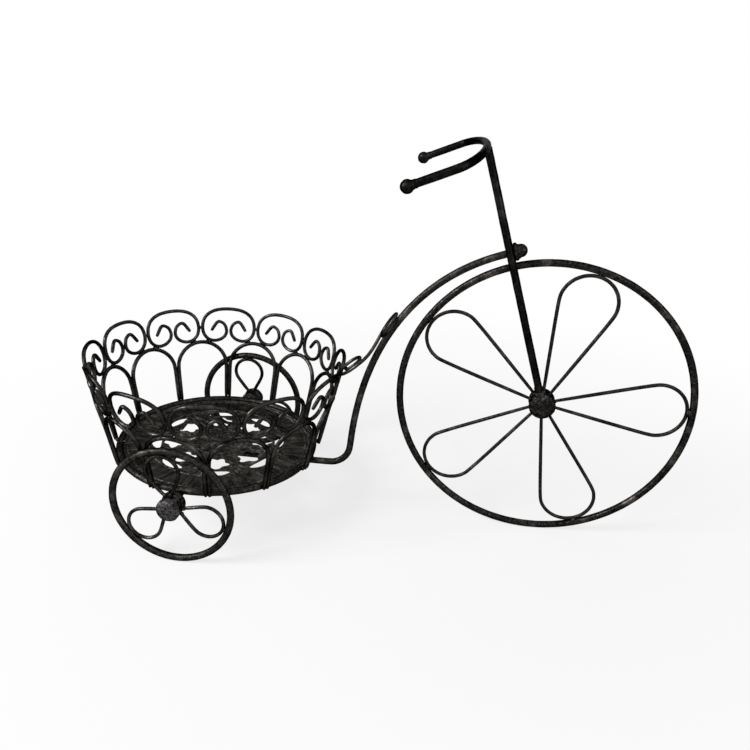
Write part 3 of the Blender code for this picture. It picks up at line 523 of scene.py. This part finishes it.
def brace_place(along, across):
    """A point of the brace: a way up its bent sheet, and a way across it, rolled a little to one side."""
    left = along
    for (x, z), (next_x, next_z) in zip(BRACE_SPINE, BRACE_SPINE[1:]):
        length = math.hypot(next_x - x, next_z - z)
        if left <= length or (next_x, next_z) == BRACE_SPINE[-1]:
            break
        left -= length
    ahead = Vector((next_x - x, 0, next_z - z)) / length
    rise = Vector((-ahead.z, 0, ahead.x)) * math.sin(BRACE_ROLL) * (across + 0.003)
    return Vector((x, across * math.cos(BRACE_ROLL), z)) + ahead * left + rise


def add_brace():
    """The S-scroll of round wire between the basket's front and the rod."""
    total = sum(math.dist(start, end) for start, end in zip(BRACE_SPINE, BRACE_SPINE[1:]))
    low = BRACE_LOWER_CURL[0] * BRACE_LOWER_CURL[2]
    high = total - BRACE_UPPER_CURL[0] * BRACE_UPPER_CURL[2]
    flat = [(low - along, -across) for along, across in reversed(curl(BRACE_LOWER_CURL))]
    for step in range(1, 24):
        share = step / 24
        blend = (1 - math.cos(math.pi * share)) / 2
        flat.append((low + (high - low) * share,
                     -BRACE_LOWER_CURL[0] + (BRACE_UPPER_CURL[0] + BRACE_LOWER_CURL[0]) * blend))
    flat += [(high + along, across) for along, across in curl(BRACE_UPPER_CURL)]
    wire = relief("brace_wire", [[brace_place(*point) for point in flat]], BRACE_WIRE_RADIUS, False)
    mesh = join_curves("dressed_brace", [(wire, 0, 0)])
    add_piece("dressed_brace", mesh, [WIRE_IRON], "planter", "scroll_brace")


def weld_bead(builder, place, along, size, seed):
    """Adds one lumpy bead, a little longer along its seam, to a bmesh."""
    made = bmesh.ops.create_icosphere(builder, subdivisions=2, radius=1.0)
    turn = along.normalized().to_track_quat("X", "Z").to_matrix()
    for vertex in made["verts"]:
        lump = 1 + 0.22 * noise.noise(vertex.co * 1.9 + Vector((seed * 3.7, seed * 1.3, seed)))
        stretched = Vector((vertex.co.x * 1.35, vertex.co.y, vertex.co.z)) * lump * size
        vertex.co = place + turn @ stretched


def add_beads(name, body, beads):
    """One mesh of weld beads, from (place, along, size), that moves with a body."""
    builder = bmesh.new()
    for seed, (place, along, size) in enumerate(beads):
        weld_bead(builder, place, along, size, seed)
    mesh = bpy.data.meshes.new(name)
    builder.to_mesh(mesh)
    builder.free()
    add_piece(name, mesh, [WELD_IRON], body)


def touches(first, second, limit=0.0009, spacing=0.008, most=2):
    """Places where two frame nodes nearly touch, nearest first, and the way their seam runs."""
    skins = []
    for name in (first, second):
        item = nodes[name]
        points = [item.matrix_world @ vertex.co for vertex in item.data.vertices]
        skins.append((points, [list(face.vertices) for face in item.data.polygons]))
    tree = BVHTree.FromPolygons(*skins[1])
    near = []
    for point in skins[0][0]:
        spot, _normal, _index, gap = tree.find_nearest(point, limit)
        if spot is not None:
            near.append((gap, point, spot))
    found = []
    for _gap, point, spot in sorted(near, key=lambda entry: entry[0]):
        middle = (point + spot) / 2
        if all((middle - other).length > spacing for other, _along in found):
            across = spot - point if (spot - point).length > 1e-6 else Vector((0, 1, 0))
            found.append((middle, across.orthogonal()))
        if len(found) == most:
            break
    return found


def add_welds():
    wheels = (("front", 5, 1.2, FRONT_AXLE),
              ("rear_right", 3, 98.5, REAR_AXLE - Vector((0, HALF_TRACK, 0))),
              ("rear_left", 3, 93.0, REAR_AXLE + Vector((0, HALF_TRACK, 0))))
    for word, count, first_deg, centre in wheels:
        beads = []
        for index in range(1, count + 1):
            petal = f"{word}_petal_{index}"
            tip_size = 0.0030 if petal == "front_petal_1" else 0.0023
            beads += [(place, along, tip_size) for place, along in touches(petal, word + "_rim", most=1)]
            for side in (-1, 1):
                angle = math.radians(first_deg + 360 * (index - 1) / count + side * PETAL_FOOT_DEG)
                outward = Vector((math.cos(angle), 0, math.sin(angle)))
                beads.append((centre + outward * PETAL_FOOT_REACH, outward, 0.0019))
        add_beads(word + "_weld_beads", word + "_wheel", beads)
    seams = []
    for index in range(1, BASKET_ARCHES + 1):
        arch = f"basket_arch_{index:02d}"
        scroll = f"basket_scroll_{index:02d}"
        after = index % BASKET_ARCHES + 1
        seams += [(arch, "base_ring", 0.0017, 2), (scroll, arch, 0.0014, 1),
                  (scroll, f"basket_arch_{after:02d}", 0.0014, 1),
                  (scroll, f"basket_scroll_{after:02d}", 0.0013, 1), (scroll, "scroll_brace", 0.0016, 1)]
    seams += [("scroll_brace", "frame_rod", 0.0022, 2), ("fork_leg_right", "handlebar", 0.0026, 1),
              ("fork_leg_left", "handlebar", 0.0026, 1), ("base_ring", "frame_rod", 0.0026, 2),
              ("base_ring", "rear_axle", 0.0026, 2), ("frame_rod", "rear_axle", 0.0026, 1)]
    beads = []
    for side in (-1, 1):
        foot = FRONT_AXLE + FORK_UP * FORK_LEG_LOW + Vector((0, side * FORK_LEG_OFFSET, 0))
        beads += [(foot, Vector((1, 0, 0)), 0.0034), (foot + FORK_UP * 0.002, FORK_UP, 0.0034)]
    for step in range(8):
        angle = math.tau * step / 8
        round_about = FORK_UP * math.cos(angle) + Vector((0, math.sin(angle), 0))
        spot = FRONT_AXLE + FORK_UP * HEAD_REACH + FORK_AHEAD * 0.0070 + round_about * 0.0044
        beads.append((spot, round_about.cross(FORK_AHEAD), 0.0020))
    for first, second, size, most in seams:
        beads += [(place, along, size) for place, along in touches(first, second, most=most)]
    add_beads("planter_weld_beads", "planter", beads)


def add_camera():
    data = bpy.data.cameras.new("camera")
    data.lens = CAMERA_LENS_MM
    data.sensor_width = 36.0
    camera = bpy.data.objects.new("camera", data)
    bpy.context.scene.collection.objects.link(camera)
    turn = (Matrix.Rotation(CAMERA_YAW, 4, "Z")
            @ Matrix.Rotation(math.pi / 2 - CAMERA_PITCH, 4, "X")
            @ Matrix.Rotation(CAMERA_ROLL, 4, "Z"))
    camera.matrix_world = Matrix.Translation(CAMERA_PLACE) @ turn
    bpy.context.scene.camera = camera


def add_floor():
    """A pale floor that the camera sees as white, apart from the shadow on it."""
    builder = bmesh.new()
    bmesh.ops.create_grid(builder, x_segments=1, y_segments=1, size=6.0)
    mesh = bpy.data.meshes.new("floor")
    builder.to_mesh(mesh)
    builder.free()
    material, tree, shader = shader_material("floor_pale", 0.9)
    shader.inputs["Base Color"].default_value = (0.80, 0.80, 0.80, 1)
    shader.inputs["Specular IOR Level"].default_value = 0.0
    white = tree.nodes.new("ShaderNodeEmission")
    white.inputs["Color"].default_value = (1, 1, 1, 1)
    rays = tree.nodes.new("ShaderNodeLightPath")
    place = tree.nodes.new("ShaderNodeTexCoord").outputs["Object"]
    reach = tree.nodes.new("ShaderNodeVectorMath")
    reach.operation = "LENGTH"
    tree.links.new(place, reach.inputs[0])
    far = tree.nodes.new("ShaderNodeMapRange")
    far.interpolation_type = "SMOOTHSTEP"
    far.inputs["From Min"].default_value = 0.15
    far.inputs["From Max"].default_value = 0.75
    far.inputs["To Min"].default_value = 0.76
    far.inputs["To Max"].default_value = 1.0
    tree.links.new(reach.outputs["Value"], far.inputs["Value"])
    seen = tree.nodes.new("ShaderNodeMath")
    seen.operation = "MULTIPLY"
    tree.links.new(far.outputs["Result"], seen.inputs[0])
    tree.links.new(rays.outputs["Is Camera Ray"], seen.inputs[1])
    mix = tree.nodes.new("ShaderNodeMixShader")
    tree.links.new(seen.outputs["Value"], mix.inputs["Fac"])
    tree.links.new(shader.outputs["BSDF"], mix.inputs[1])
    tree.links.new(white.outputs["Emission"], mix.inputs[2])
    tree.links.new(mix.outputs["Shader"], tree.nodes["Material Output"].inputs["Surface"])
    mesh.materials.append(material)
    floor = bpy.data.objects.new("floor", mesh)
    floor.location = (0, 0, -0.0005)
    bpy.context.scene.collection.objects.link(floor)


def add_area(name, place, target, size, power):
    data = bpy.data.lights.new(name, "AREA")
    data.shape = "RECTANGLE"
    data.size = size[0]
    data.size_y = size[1]
    data.energy = power
    lamp = bpy.data.objects.new(name, data)
    lamp.location = place
    lamp.rotation_euler = (Vector(target) - Vector(place)).to_track_quat("-Z", "Y").to_euler()
    bpy.context.scene.collection.objects.link(lamp)


def add_world():
    """A soft pale surround, white where the camera or a gloss looks at it."""
    world = bpy.data.worlds.new("studio")
    world.use_nodes = True
    tree = world.node_tree
    ambient = tree.nodes["Background"]
    ambient.inputs["Color"].default_value = (1, 1, 1, 1)
    ambient.inputs["Strength"].default_value = 0.20
    seen = tree.nodes.new("ShaderNodeBackground")
    seen.inputs["Color"].default_value = (1, 1, 1, 1)
    seen.inputs["Strength"].default_value = 1.0
    rays = tree.nodes.new("ShaderNodeLightPath")
    either = tree.nodes.new("ShaderNodeMath")
    either.operation = "MAXIMUM"
    tree.links.new(rays.outputs["Is Camera Ray"], either.inputs[0])
    tree.links.new(rays.outputs["Is Glossy Ray"], either.inputs[1])
    mix = tree.nodes.new("ShaderNodeMixShader")
    tree.links.new(either.outputs["Value"], mix.inputs["Fac"])
    tree.links.new(ambient.outputs["Background"], mix.inputs[1])
    tree.links.new(seen.outputs["Background"], mix.inputs[2])
    tree.links.new(mix.outputs["Shader"], tree.nodes["World Output"].inputs["Surface"])
    bpy.context.scene.world = world


def add_studio():
    add_camera()
    add_floor()
    add_world()
    centre = (0.0, 0.0, 0.15)
    add_area("key", (-1.6, -1.0, 1.4), centre, (0.9, 0.9), 60.0)
    add_area("fill", (1.4, -1.0, 0.9), centre, (1.4, 1.4), 8.0)
    add_area("back", (0.2, 1.5, 1.3), centre, (1.6, 1.6), 4.0)
    bpy.context.scene.view_settings.view_transform = "Standard"


dress_frame()
add_hub_caps()
add_head()
add_knobs()
add_tray()
add_brace()
add_welds()
add_studio()
